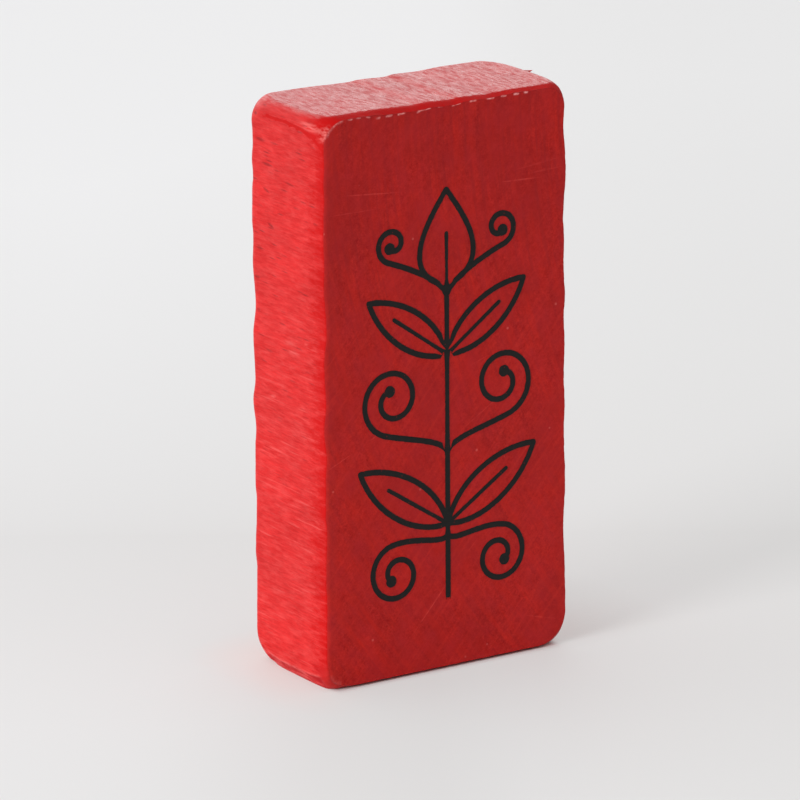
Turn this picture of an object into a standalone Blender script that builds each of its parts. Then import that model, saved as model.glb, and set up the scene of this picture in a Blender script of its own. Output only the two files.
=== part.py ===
"""Wooden game-piece block with one printed face.

The block is a slice cut across a moulded hardwood strip, so both broad faces are end grain and the grain
runs through the thickness. It stands on a short end, with the printed face towards -Y.
Sizes are in metres and +Z is up. The origin is the middle of the base.
"""
import math

import bmesh
import bpy

MM = 0.001

# Block
HEIGHT = 50.0 * MM
WIDTH = 24.9 * MM
THICKNESS = 11.6 * MM
FRONT_RIM_DEPTH = 0.9 * MM  # along the thickness
FRONT_RIM_INSETS = (0.25 * MM, 0.25 * MM, 0.30 * MM, 0.10 * MM)  # across the face: base, right, top, left
BACK_RIM_RADIUS = 0.6 * MM

# Edges through the thickness: radius at the front face, halfway and at the back face
BASE_RIGHT_RADII = (3.2 * MM, 0.8 * MM, 2.6 * MM)
TOP_RIGHT_RADII = (2.7 * MM, 0.8 * MM, 2.5 * MM)
TOP_LEFT_RADII = (2.6 * MM, 1.0 * MM, 2.6 * MM)
BASE_LEFT_RADII = (1.6 * MM, 0.9 * MM, 3.3 * MM)
CORNER_WEAR_POWER = 4  # a higher power keeps the extra rounding closer to the faces

# Cutter marks on the narrow sides, in millimetres: distance along the side, and depth below the block's box
RIGHT_HOLLOWS = (  # from the base up
    (0.0, 0.0), (4.0, 0.05), (7.8, 0.13), (10.2, 0.29), (14.6, 0.08), (19.6, 0.21),
    (21.6, 0.13), (24.0, 0.22), (27.7, 0.12), (29.2, 0.23), (31.5, 0.10), (33.9, 0.23),
    (36.2, 0.19), (38.2, 0.29), (42.4, 0.0), (46.4, 0.24), (50.0, 0.0),
)
TOP_HOLLOWS = (  # from the right to the left
    (0.0, 0.03), (2.7, 0.08), (5.5, 0.03), (8.2, 0.12), (10.4, 0.05), (11.5, 0.15),
    (13.9, 0.06), (15.1, 0.13), (20.0, 0.0), (24.9, 0.0),
)
LEFT_HOLLOWS = (  # from the top down
    (0.0, 0.05), (4.0, 0.28), (5.6, 0.17), (6.9, 0.26), (8.5, 0.15), (11.0, 0.12), (12.2, 0.20),
    (14.6, 0.13), (18.2, 0.36), (21.0, 0.08), (24.8, 0.22), (26.7, 0.0), (29.4, 0.24), (30.8, 0.13),
    (34.2, 0.09), (35.6, 0.20), (40.3, 0.04), (41.7, 0.14), (45.5, 0.08), (50.0, 0.0),
)
BASE_HOLLOWS = ((0.0, 0.0), (24.9, 0.0))

# Steps of the block's surface
BASE_STEPS = 2
TOP_STEPS = 30
SIDE_STEPS = 66
ARC_STEPS = 7
RIM_STEPS = 4
BODY_STATIONS = (-0.72, -0.5, 0.0, 0.5, 0.72, 0.84)  # shares of half the thickness

# Ink film
INK_THICKNESS = 0.06 * MM
INK_GAP = 0.02 * MM  # keeps the film and the wood apart as two solids
LINE_WIDTH = 0.50 * MM
FINE_LINE_WIDTH = 0.36 * MM

# Ornament: heights are above the base, reaches are from the middle of the face
STEM_FOOT = 6.6 * MM
STEM_TOP = 34.0 * MM
BUD_TOP = 42.4 * MM
BUD_HALF_WIDTH = 3.0 * MM
BUD_SEAM_TOP = 38.6 * MM
BUD_LOW_PULL = (1.75, 0.2)  # shares of the bud's half width and height, for its curve's two handles
BUD_HIGH_PULL = (0.5, 0.75)
LEAVES = (  # height on the stem, reach and height of the tip, half width
    (13.0 * MM, 8.8 * MM, 18.8 * MM, 1.75 * MM),
    (28.0 * MM, 7.8 * MM, 33.6 * MM, 1.55 * MM),
)
LEAF_LOW_PULL = (0.28, 1.5)  # shares of the leaf's length and half width, for each edge's two handles
LEAF_HIGH_PULL = (0.74, 1.2)
LEAF_RIB_SHARE = 0.68  # of the leaf's length
CURLS = (  # height on the stem, reach and height of the spiral's centre, radius, degrees of turn
    (12.2 * MM, 5.2 * MM, 9.3 * MM, 2.7 * MM, 470),
    (19.2 * MM, 5.5 * MM, 24.8 * MM, 3.1 * MM, 500),
    (33.0 * MM, 5.4 * MM, 38.4 * MM, 1.6 * MM, 380),
)
CURL_START_DEGREES = 70  # below the centre's level, where the tendril meets the spiral
CURL_EYE_SHARE = 0.28  # of the spiral's radius, where it ends
DOT_RADIUS = 0.52 * MM

# Steps of the ornament's lines
CURVE_STEPS = 16
DEGREES_PER_CURL_STEP = 15
CAP_STEPS = 4
DOT_STEPS = 14
WELD_DISTANCE = 0.001 * MM

# Finish
SHARP_ANGLE = math.radians(30)
WOOD_RED = (0.60, 0.024, 0.026, 1.0)
WOOD_ROUGHNESS = 0.45
INK_BLACK = (0.012, 0.012, 0.011, 1.0)
INK_ROUGHNESS = 0.6


def clear_scene():
    """Remove every object, so that the script can run again."""
    for old in list(bpy.data.objects):
        bpy.data.objects.remove(old, do_unlink=True)


def new_collection(name):
    """A collection of the scene."""
    collection = bpy.data.collections.new(name)
    bpy.context.scene.collection.children.link(collection)
    return collection


def new_material(name, colour, roughness):
    """A plain non-metallic finish."""
    material = bpy.data.materials.new(name)
    material.use_nodes = True
    shader = material.node_tree.nodes["Principled BSDF"]
    shader.inputs["Base Color"].default_value = colour
    shader.inputs["Roughness"].default_value = roughness
    shader.inputs["Metallic"].default_value = 0.0
    return material


# Block


def hollow(hollows, along):
    """Depth of the cutter marks at a distance along a side, eased between the listed places."""
    place = along / MM
    for (near, near_depth), (far, far_depth) in zip(hollows, hollows[1:]):
        if place <= far:
            break
    share = (place - near) / (far - near)
    ease = share * share * (3 - 2 * share)
    return (near_depth + (far_depth - near_depth) * ease) * MM


def corner_radius(radii, y):
    """Radius of one edge through the thickness, which changes towards the broad faces."""
    front, halfway, back = radii
    share = abs(2 * y / THICKNESS) ** CORNER_WEAR_POWER
    return halfway + ((front if y < 0 else back) - halfway) * share


def outline(y, insets):
    """Points round the block at one depth, with an inset on each side, anticlockwise seen from the front."""
    half = WIDTH / 2
    sides = (  # first corner, direction, length, steps, own marks, next side's marks, radii of the last edge
        ((-half, 0.0), (1, 0), WIDTH, BASE_STEPS, BASE_HOLLOWS, RIGHT_HOLLOWS, BASE_RIGHT_RADII),
        ((half, 0.0), (0, 1), HEIGHT, SIDE_STEPS, RIGHT_HOLLOWS, TOP_HOLLOWS, TOP_RIGHT_RADII),
        ((half, HEIGHT), (-1, 0), WIDTH, TOP_STEPS, TOP_HOLLOWS, LEFT_HOLLOWS, TOP_LEFT_RADII),
        ((-half, HEIGHT), (0, -1), HEIGHT, SIDE_STEPS, LEFT_HOLLOWS, BASE_HOLLOWS, BASE_LEFT_RADII),
    )
    points = []
    start_radius = corner_radius(BASE_LEFT_RADII, y)
    next_insets = insets[1:] + insets[:1]
    for side, inset, next_inset in zip(sides, insets, next_insets):
        (x, z), (dx, dz), length, steps, hollows, next_hollows, end_radii = side
        end_radius = corner_radius(end_radii, y)
        for step in range(steps + 1):
            along = start_radius + (length - start_radius - end_radius) * step / steps
            depth = inset + hollow(hollows, along)
            points.append((x + dx * along - dz * depth, z + dz * along + dx * depth))
        last_depth = inset + hollow(hollows, length - end_radius)
        next_depth = next_inset + hollow(next_hollows, end_radius)
        centre_x = x + dx * (length - end_radius) - dz * end_radius
        centre_z = z + dz * (length - end_radius) + dx * end_radius
        for step in range(1, ARC_STEPS):
            share = step / ARC_STEPS
            reach = end_radius - last_depth * (1 - share) - next_depth * share
            out = reach * math.cos(math.pi / 2 * share)
            on = reach * math.sin(math.pi / 2 * share)
            points.append((centre_x + dx * on + dz * out, centre_z + dz * on - dx * out))
        start_radius = end_radius
    return points


def even_insets(inset):
    """The same inset on all four sides."""
    return [inset] * len(FRONT_RIM_INSETS)


def front_rim_rows():
    """Depth and insets of the outlines of the front rim, which bends away from the sides to a crisp arris."""
    rows = []
    for step in range(RIM_STEPS + 1):
        share = step / RIM_STEPS
        y = FRONT_RIM_DEPTH * share - THICKNESS / 2
        rows.append((y, [inset * (1 - share) ** 2 for inset in FRONT_RIM_INSETS]))
    return rows


def back_rim_rows():
    """Depth and insets of the outlines that round the back rim, from the sides to the back face."""
    rows = []
    for step in range(RIM_STEPS + 1):
        turn = math.pi / 2 * step / RIM_STEPS
        y = THICKNESS / 2 - BACK_RIM_RADIUS * (1 - math.sin(turn))
        rows.append((y, even_insets(BACK_RIM_RADIUS * (1 - math.cos(turn)))))
    return rows


def build_block(collection, material):
    """The wooden body, lofted from outlines along its thickness."""
    rows = front_rim_rows()
    rows += [(share * THICKNESS / 2, even_insets(0.0)) for share in BODY_STATIONS]
    rows += back_rim_rows()
    bm = bmesh.new()
    rings = []
    for y, insets in rows:
        rings.append([bm.verts.new((x, y, z)) for x, z in outline(y, insets)])
    for near, far in zip(rings, rings[1:]):
        for i in range(len(near)):
            j = (i + 1) % len(near)
            bm.faces.new((near[i], near[j], far[j], far[i]))
    bm.faces.new(rings[0])
    bm.faces.new(rings[-1])
    bmesh.ops.recalc_face_normals(bm, faces=bm.faces)
    mesh = bpy.data.meshes.new("wood_block")
    bm.to_mesh(mesh)
    bm.free()
    mesh.shade_smooth()
    mesh.set_sharp_from_angle(angle=SHARP_ANGLE)
    mesh.materials.append(material)
    block = bpy.data.objects.new("wood_block", mesh)
    collection.objects.link(block)
    return block


# Ornament lines, as points (reach, height) on the front face


def bezier(start, pull_start, pull_end, end):
    """Points along one cubic curve."""
    points = []
    for step in range(CURVE_STEPS + 1):
        t = step / CURVE_STEPS
        weights = ((1 - t) ** 3, 3 * t * (1 - t) ** 2, 3 * t * t * (1 - t), t ** 3)
        corners = (start, pull_start, pull_end, end)
        points.append(tuple(sum(w * c[axis] for w, c in zip(weights, corners)) for axis in (0, 1)))
    return points


def curl_line(stem_height, reach, height, radius, sweep):
    """A tendril that leaves the stem and winds into a spiral, upwards or downwards."""
    rise = 1 if height > stem_height else -1
    steps = round(sweep / DEGREES_PER_CURL_STEP)
    spiral = []
    for step in range(steps + 1):
        share = step / steps
        turn = rise * math.radians(sweep * share - CURL_START_DEGREES)
        size = radius * (1 - share * (1 - CURL_EYE_SHARE))
        spiral.append((reach + size * math.cos(turn), height + size * math.sin(turn)))
    start_x, start_z = spiral[0]
    slope = math.radians(CURL_START_DEGREES)
    lead = reach / 2
    pull_end = (start_x - lead * math.sin(slope), start_z - rise * lead * math.cos(slope))
    pull_start = (0.0, stem_height + rise * lead / 2)
    return bezier((0.0, stem_height), pull_start, pull_end, spiral[0])[:-1] + spiral


def leaf_edge(stem_height, reach, height, half_width, side):
    """One edge of a leaf, from the stem to the tip. Side is 1 above the rib and -1 below it."""
    rise = height - stem_height
    length = math.hypot(reach, rise)
    across_x = -rise / length * half_width * side
    across_z = reach / length * half_width * side

    def at(share, bulge):
        return (reach * share + across_x * bulge, stem_height + rise * share + across_z * bulge)

    return bezier(at(0.0, 0.0), at(*LEAF_LOW_PULL), at(*LEAF_HIGH_PULL), at(1.0, 0.0))


def leaf_rib(stem_height, reach, height):
    """The line along the middle of a leaf."""
    end = (reach * LEAF_RIB_SHARE, stem_height + (height - stem_height) * LEAF_RIB_SHARE)
    return [(0.0, stem_height), end]


def bud_edge():
    """The right-hand edge of the bud, from the stem to the tip."""
    rise = BUD_TOP - STEM_TOP
    low, high = [
        (BUD_HALF_WIDTH * across, STEM_TOP + rise * up) for across, up in (BUD_LOW_PULL, BUD_HIGH_PULL)
    ]
    return bezier((0.0, STEM_TOP), low, high, (0.0, BUD_TOP))


def mirrored(line):
    """The same line on the other side of the stem."""
    return [(-x, z) for x, z in line]


def ornament_lines():
    """Every line of the ornament with its width: one stem, a bud, and paired leaves and curls."""
    lines = [([(0.0, STEM_FOOT), (0.0, STEM_TOP)], LINE_WIDTH)]
    lines.append(([(0.0, STEM_TOP), (0.0, BUD_SEAM_TOP)], FINE_LINE_WIDTH))
    half = [(bud_edge(), LINE_WIDTH)]
    for stem_height, reach, height, half_width in LEAVES:
        half.append((leaf_edge(stem_height, reach, height, half_width, 1), LINE_WIDTH))
        half.append((leaf_edge(stem_height, reach, height, half_width, -1), LINE_WIDTH))
        half.append((leaf_rib(stem_height, reach, height), FINE_LINE_WIDTH))
    for curl in CURLS:
        half.append((curl_line(*curl), LINE_WIDTH))
    for line, width in half:
        lines.append((line, width))
        lines.append((mirrored(line), width))
    return lines


def ribbon(line, width):
    """Closed outline of a line drawn with a round pen."""
    left, right = [], []
    for i, (x, z) in enumerate(line):
        ax, az = line[max(i - 1, 0)]
        bx, bz = line[min(i + 1, len(line) - 1)]
        length = math.hypot(bx - ax, bz - az)
        nx = -(bz - az) / length * width / 2
        nz = (bx - ax) / length * width / 2
        left.append((x + nx, z + nz))
        right.append((x - nx, z - nz))

    def cap(centre, first):
        start = math.atan2(first[1] - centre[1], first[0] - centre[0])
        turns = [start - math.pi * step / CAP_STEPS for step in range(1, CAP_STEPS)]
        return [(centre[0] + width / 2 * math.cos(t), centre[1] + width / 2 * math.sin(t)) for t in turns]

    return left + cap(line[-1], left[-1]) + right[::-1] + cap(line[0], right[0])


def dot(centre):
    """Closed outline of the round eye of a curl."""
    turns = [2 * math.pi * step / DOT_STEPS for step in range(DOT_STEPS)]
    return [(centre[0] + DOT_RADIUS * math.cos(t), centre[1] + DOT_RADIUS * math.sin(t)) for t in turns]


def ink_plate(name, shape, collection):
    """A flat outline on the front face, as thick as the ink film, made a mesh."""
    curve = bpy.data.curves.new(name, "CURVE")
    curve.dimensions = "2D"
    curve.fill_mode = "BOTH"
    curve.extrude = INK_THICKNESS / 2
    spline = curve.splines.new("POLY")
    spline.points.add(len(shape) - 1)
    for point, (x, z) in zip(spline.points, shape):
        point.co = (x, z, 0.0, 1.0)
    spline.use_cyclic_u = True
    drawn = bpy.data.objects.new(name + "_curve", curve)
    bpy.context.scene.collection.objects.link(drawn)
    drawn.rotation_euler = (math.pi / 2, 0.0, 0.0)
    drawn.location = (0.0, -THICKNESS / 2 - INK_GAP - INK_THICKNESS / 2, 0.0)
    bpy.context.view_layer.update()
    evaluated = drawn.evaluated_get(bpy.context.evaluated_depsgraph_get())
    mesh = bpy.data.meshes.new_from_object(evaluated)
    bm = bmesh.new()
    bm.from_mesh(mesh)
    bmesh.ops.remove_doubles(bm, verts=bm.verts, dist=WELD_DISTANCE)
    bm.to_mesh(mesh)
    bm.free()
    plate = bpy.data.objects.new(name, mesh)
    plate.matrix_world = drawn.matrix_world.copy()
    bpy.data.objects.remove(drawn, do_unlink=True)
    collection.objects.link(plate)
    return plate


def build_print(parts, strokes, material):
    """The ink film: the stem joined with every other line of the ornament."""
    lines = ornament_lines()
    stem_line, stem_width = lines[0]
    film = ink_plate("front_print", ribbon(stem_line, stem_width), parts)
    shapes = [ribbon(line, width) for line, width in lines[1:]]
    for curl in CURLS:
        eye = curl_line(*curl)[-1]
        shapes += [dot(eye), dot((-eye[0], eye[1]))]
    for number, shape in enumerate(shapes, start=1):
        stroke = ink_plate(f"stroke_{number}", shape, strokes)
        stroke.hide_render = True
        stroke.display_type = "WIRE"
    join = film.modifiers.new("join strokes", "BOOLEAN")
    join.operation = "UNION"
    join.solver = "EXACT"
    join.operand_type = "COLLECTION"
    join.collection = strokes
    film.data.materials.clear()
    film.data.materials.append(material)
    return film


def main():
    clear_scene()
    parts = new_collection("game_piece_block")
    strokes = new_collection("print_strokes")
    build_block(parts, new_material("stained_wood", WOOD_RED, WOOD_ROUGHNESS))
    build_print(parts, strokes, new_material("black_ink", INK_BLACK, INK_ROUGHNESS))


main()
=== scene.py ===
"""Looks of the wooden game-piece block: stained grain, worn rims, printed ornament, floor, light and camera.

Lengths are in millimetres unless a name says otherwise. They become metres where a mesh is made.
"""
import math

import bmesh
import bpy
import numpy as np
from mathutils import Matrix, Vector, geometry, noise


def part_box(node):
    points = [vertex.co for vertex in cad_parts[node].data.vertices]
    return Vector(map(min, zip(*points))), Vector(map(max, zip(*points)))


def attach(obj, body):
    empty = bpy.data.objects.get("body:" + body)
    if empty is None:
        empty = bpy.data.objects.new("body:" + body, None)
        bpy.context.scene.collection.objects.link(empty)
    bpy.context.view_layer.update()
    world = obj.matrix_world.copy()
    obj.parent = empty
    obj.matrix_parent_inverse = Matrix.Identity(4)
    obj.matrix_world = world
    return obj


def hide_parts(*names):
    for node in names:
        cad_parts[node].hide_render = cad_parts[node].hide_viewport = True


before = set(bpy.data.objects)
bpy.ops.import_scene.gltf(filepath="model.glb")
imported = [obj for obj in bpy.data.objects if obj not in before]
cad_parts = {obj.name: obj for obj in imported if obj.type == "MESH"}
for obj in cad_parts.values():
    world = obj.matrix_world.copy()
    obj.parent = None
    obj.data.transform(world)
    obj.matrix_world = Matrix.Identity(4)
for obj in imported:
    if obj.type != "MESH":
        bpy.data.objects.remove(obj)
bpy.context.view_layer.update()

MM = 0.001

# Block, as in the frame
BLOCK_LOW, BLOCK_HIGH = (np.array(corner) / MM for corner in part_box("wood_block"))
WIDTH, THICKNESS, HEIGHT = BLOCK_HIGH - BLOCK_LOW
HALF_WIDTH, HALF_THICKNESS = WIDTH / 2, THICKNESS / 2

# Front rim. Four values stand for the base, right, top and left
FRONT_RIM_DEPTHS = np.array((0.9, 0.9, 0.7, 1.2))  # along the thickness
FRONT_RIM_INSETS = np.array((0.25, 0.25, 0.19, 0.10))  # across the face
FRONT_RIM_POWERS = np.array((1.6, 1.6, 1.1, 1.6))  # of the bend between the two
TOP_RIM_PLACES = (-8.8, -7.2, 1.0, 3.0)  # x along the top
TOP_RIM_EXTRA = (0.0, 0.12, 0.10, 0.0)  # further inset there
ARRIS_DROPS = np.array((0.0, 0.0, 0.0, 0.06))  # rounding of the arris: along the thickness
ARRIS_INSETS = np.array((0.0, 0.0, 0.0, 0.08))  # across the face
ARRIS_REACH, ARRIS_SHARE = 0.3, 0.2  # how far it goes on the face, and as a share of the rim's depth
FOOT_RIM_REACH = 2.2  # wear of the lower left corner
FOOT_RIM_INSET, FOOT_RIM_POWER = 0.32, 1.0
FOOT_RIM_STAIN, FOOT_END_GRAIN = 0.4, 0.9
RIM_SPACING = 1.5  # power that crowds the rows at the arris
BACK_RIM_RADIUS = 0.6

# How deep the stain is: front rim, in the same order, painted shade on the flat of the base's left edge, and
# other places
FRONT_RIM_STAIN = np.array((0.4, 0.8, 1.5, 0.8))
FRONT_RIM_FADE = np.array((1.0, 0.4, 0.12, 0.9))  # power with which it fades away from the face
FRONT_RIM_REST = np.array((0.0, 0.0, 1.1, 0.52))  # how deep it still is beyond the rim
STAIN_REACHES = np.array((0.7, 0.7, 0.7, 2.8))  # how far it goes there
TOP_STAIN_PLACES, TOP_STAIN_SHARES = (0.0, 5.0), (1.0, 0.35)  # x along the top, and share of it left there
FLAT_PAINTED_SHADE, FLAT_SHADE_END, FLAT_SHADE_FADE = 0.42, 5.4, 1.5  # y where it ends, and over which length
# Painted shade on the top-right corner, given as stain depth; the splinter's stain is real
RIGHT_PAINTED_SHADE, SPLINTER_STAIN = 1.4, 1.5

# Edges through the thickness: radius at the front face, halfway and at the back face
BASE_RIGHT_RADII = (3.2, 0.8, 2.6)
TOP_RIGHT_RADII = (2.15, 0.7, 2.5)
TOP_LEFT_RADII = (2.6, 1.0, 2.6)
BASE_LEFT_RADII = (1.6, 1.0, 3.3)
CORNER_WEAR_POWER = 4
WIDEST_CORNER = 3.3
ROUND_FROM, FLAT_TO = 1.45, 1.2  # radii at which the base's left edge is worn round, and still a flat
FLAT_END, FLAT_FOOT = 0.75, 0.38  # shares of the turn and of the radius at the flat's lower end

# Cutter marks on the narrow sides: distance along the side, and depth below the block's box
BASE_HOLLOWS = ((0.0, 0.0), (24.9, 0.0))
RIGHT_HOLLOWS = (
    (0.0, 0.0), (4.0, 0.05), (7.8, 0.13), (10.2, 0.29), (14.6, 0.08), (19.6, 0.21),
    (21.6, 0.13), (24.0, 0.22), (27.7, 0.12), (29.2, 0.23), (31.5, 0.10), (33.9, 0.23),
    (36.2, 0.19), (38.2, 0.29), (42.4, 0.0), (46.4, 0.24), (50.0, 0.0),
)
TOP_HOLLOWS = (
    (0.0, 0.02), (2.7, 0.05), (5.5, 0.02), (8.2, 0.12), (10.4, 0.05), (11.5, 0.15),
    (13.9, 0.06), (15.1, 0.13), (20.0, 0.0), (24.9, 0.0),
)
LEFT_HOLLOWS = (
    (0.0, 0.05), (4.0, 0.28), (5.6, 0.17), (6.9, 0.26), (8.5, 0.15), (11.0, 0.12), (12.2, 0.20),
    (14.6, 0.13), (18.2, 0.36), (21.0, 0.08), (24.8, 0.22), (26.7, 0.0), (29.4, 0.24), (30.8, 0.13),
    (34.2, 0.09), (35.6, 0.20), (40.3, 0.04), (41.7, 0.14), (45.5, 0.08), (50.0, 0.0),
)

# The four narrow sides, anticlockwise from the front: first corner, direction, length, steps, cutter marks,
# and radii of the edge at their end
BASE, RIGHT, TOP, LEFT = range(4)
SIDES = (
    ((-HALF_WIDTH, 0.0), (1, 0), WIDTH, 60, BASE_HOLLOWS, BASE_RIGHT_RADII),
    ((HALF_WIDTH, 0.0), (0, 1), HEIGHT, 220, RIGHT_HOLLOWS, TOP_RIGHT_RADII),
    ((HALF_WIDTH, HEIGHT), (-1, 0), WIDTH, 220, TOP_HOLLOWS, TOP_LEFT_RADII),
    ((-HALF_WIDTH, HEIGHT), (0, -1), HEIGHT, 220, LEFT_HOLLOWS, BASE_LEFT_RADII),
)
ARC_STEPS = 16
CRISP = 0.06  # length of the last step before a corner
RIM_STEPS = 6
BODY_STEPS = 44
FIBRE_PITCH = (0.45, 4.0, 0.45)
FIBRE_DEPTH = 0.012

# Wear
RIM_WANDER = 0.04
RIM_WANDER_PITCH = 0.8
LEAST_RIM = 0.03
CHIPS = (  # along the top of the front rim: x and z of both ends, strength
    (-9.60, 49.74, -9.30, 49.74, 0.6), (-8.80, 49.77, -8.50, 49.75, 0.4), (-7.85, 49.73, -7.55, 49.64, 0.5),
    (-6.85, 49.50, -6.55, 49.51, 0.5), (-5.85, 49.53, -5.40, 49.55, 0.75), (-4.70, 49.51, -4.10, 49.58, 0.75),
    (-2.80, 49.46, -2.50, 49.56, 0.75), (-2.50, 49.56, -1.55, 49.66, 0.7), (-0.70, 49.65, -0.30, 49.66, 0.65),
    (0.70, 49.57, 1.45, 49.66, 0.7), (2.50, 49.67, 3.05, 49.71, 0.7), (4.25, 49.69, 4.80, 49.68, 1.0),
    (5.65, 49.70, 6.05, 49.67, 0.6), (6.95, 49.70, 7.30, 49.67, 0.85), (8.00, 49.70, 8.25, 49.70, 0.9),
)
CHIP_HALF_WIDTHS = (0.035, 0.098)  # of the faintest and the strongest
CORNER_LINE_WEAR, CORNER_LINE_WIDTH = 0.34, 0.17
CORNER_LINE_ARC = (0.1, 0.66)  # shares of the turn at its ends
BASE_LINE_WEAR = 0.17
BASE_CORNER_WEAR, BASE_CORNER_REACH = 0.12, 0.5
SCUFFS = (  # on the left side: y, z, half length, half height, strength
    (-4.2, 49.1, 2.4, 0.35, 0.7), (-5.5, 48.7, 0.5, 0.7, 1.0), (-1.2, 28.95, 1.0, 0.2, 0.6),
    (-0.5, 29.7, 1.0, 0.2, 0.4), (-2.9, 30.1, 0.3, 0.15, 0.5), (2.3, 24.4, 0.4, 0.15, 0.5),
)
# Painted shade: a dark line along the crease below the top-left edge, y and z of its middle
CORNER_SHADE = ((-5.8, 47.3), (-4.5, 48.28), (-2.4, 48.7), (-0.3, 48.8), (4.3, 48.73), (5.8, 48.3))  # y and z
CORNER_SHADE_HALF_HEIGHT, CORNER_SHADE_WANDER = 0.2, 0.12
SPLINTER_ROOT, SPLINTER_TIP = (11.85, 0.16, 49.93), (12.43, -0.40, 49.985)
SPLINTER_WIDTH, SPLINTER_HEIGHT = 0.26, 0.26
SPLINTER_MIDDLE, SPLINTER_SAG = 0.45, 0.02  # share of its length, and how far it sags there
SPLINTER_NEAR, SPLINTER_FAR = 0.7, 0.8  # shares of its width left there
SPLINTER_END = 0.05  # share of its height left at its tip

# Faces
FACE_RING_INSETS = (0.05, 0.10, 0.16, 0.24, 0.4)
FACE_GRID, FACE_ROW = 0.5, 0.87  # spacing, and share of it between rows
FACE_GRID_MARGIN = 1.25
SAW_CENTRE = (-70.0, 60.0)
SAW_PITCH = 1.9
SAW_DEPTH = 0.008
SCRATCHES = (  # on the front: x and z of both ends, width, strength
    (-10.32, 43.30, -4.55, 42.81, 0.09, 0.30), (5.52, 42.23, 9.40, 42.11, 0.10, 0.35),
    (7.1, 43.1, 11.9, 43.6, 0.12, 0.17), (8.4, 42.6, 11.9, 42.75, 0.11, 0.18),
    (-11.98, 41.74, -6.55, 41.70, 0.08, 0.18), (-3.69, 3.61, 0.43, 8.25, 0.09, 0.36),
    (-12.20, 19.64, -9.58, 20.80, 0.08, 0.28), (-5.38, 23.03, -3.11, 24.13, 0.08, 0.26),
    (-7.74, 21.66, -7.23, 21.95, 0.09, 0.30), (1.18, 20.92, 5.97, 23.83, 0.08, 0.20),
    (1.89, 9.94, 3.01, 11.08, 0.08, 0.20), (2.40, 26.62, 4.10, 27.23, 0.08, 0.18),
    (8.05, 3.27, 11.18, 2.43, 0.10, 0.22), (-8.11, 26.55, -5.85, 27.21, 0.08, 0.18),
)
HATCH_WAY, HATCH_ACROSS = (0.656, 0.0, 0.755), (0.755, 0.0, -0.656)  # faint sanding marks
BACK_SCRATCHES_MOVE = (3.5, 0.0, -11.0)  # the back has the same ones elsewhere
LEFT_NICKS = (  # dark open grain on the left side: y and z of both ends, width, strength
    (3.78, 44.51, 2.02, 44.53, 0.18, 0.75), (3.83, 42.42, 2.56, 42.07, 0.17, 0.6),
    (2.94, 39.47, 1.83, 39.19, 0.18, 0.75), (4.93, 36.94, 3.64, 36.96, 0.17, 0.6),
    (-4.22, 40.92, -5.16, 40.87, 0.17, 0.6), (5.01, 46.43, 3.3, 46.45, 0.17, 0.6),
    (2.6, 46.5, 1.2, 46.52, 0.16, 0.5), (4.9, 48.6, 4.3, 48.65, 0.18, 0.7),
    (0.2, 43.5, -1.2, 43.45, 0.16, 0.5), (5.3, 34.3, 4.2, 34.35, 0.17, 0.6),
    (3.4, 28.3, 2.2, 28.25, 0.16, 0.5), (5.2, 31.4, 4.5, 31.45, 0.16, 0.5),
)
LEFT_GLEAMS = (  # pale raised fibres there
    (4.64, 29.45, 1.25, 29.53, 0.07, 0.45), (-0.17, 29.07, -2.24, 28.85, 0.10, 0.6),
    (1.0, 8.4, -3.9, 8.3, 0.07, 0.35), (3.9, 6.9, -1.6, 7.0, 0.06, 0.25),
    (-1.5, 44.2, -4.4, 44.0, 0.08, 0.3), (0.6, 10.7, -4.2, 10.6, 0.06, 0.3),
)
TOP_NICKS = (  # dark open grain on the top: x and y of both ends, width, strength
    (-1.26, -1.08, -0.98, -1.67, 0.12, 0.8), (1.77, 5.14, 2.07, 5.12, 0.14, 0.7),
    (-2.81, 4.77, -3.16, 3.14, 0.12, 0.7), (-2.95, -0.48, -2.88, -1.15, 0.10, 0.5),
    (5.38, 4.27, 5.34, 2.95, 0.10, 0.5),
)

# Ink
INK_PROUD = 0.03
INK_STEP, INK_LEAST_STEP = 0.1, 0.04
INK_EDGE_WANDER, INK_EDGE_FINENESS = 0.03, 4.3

INK_BUMP = 0.008
INK_SPECULAR = 0.2

# Wood: heights of fine relief, and shine
FIBRE_BUMP, NICK_BUMP, PORE_BUMP = 0.045, 0.02, 0.012
RAY_FAN = 0.008
STAIN_ROUGHNESS = 0.72
WOOD_SPECULAR = 0.15

# Tints, linear: sides and top
SIDE_TINTS = ((0.41, 0.0, 0.0, 1.0), (0.56, 0.011, 0.011, 1.0))
GLEAM_TINT = (0.60, 0.045, 0.043, 1.0)
THREAD_TINT = (0.64, 0.085, 0.078, 1.0)
NICK_TINT = (0.21, 0.0, 0.001, 1.0)
# Painted sheen: the top's paler, pinker tint stands in for its glossy reflection
TOP_TINT_AND_SHEEN = ((0.51, 0.002, 0.004, 1.0), (0.565, 0.069, 0.067, 1.0))
TOP_NICK_TINT = (0.40, 0.0, 0.0, 1.0)
SCUFF_TINT = (0.76, 0.19, 0.175, 1.0)
# At the foot the stain tint is darker and bluer: painted shade with a painted floor reflection
STAIN_AND_FOOT_SHADE_TINTS = ((0.34, 0.003, 0.007, 1.0), (0.43, 0.0, 0.0, 1.0))  # at the foot and above it
TOP_STAIN_TINT = (0.49, 0.0, 0.0, 1.0)

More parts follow.
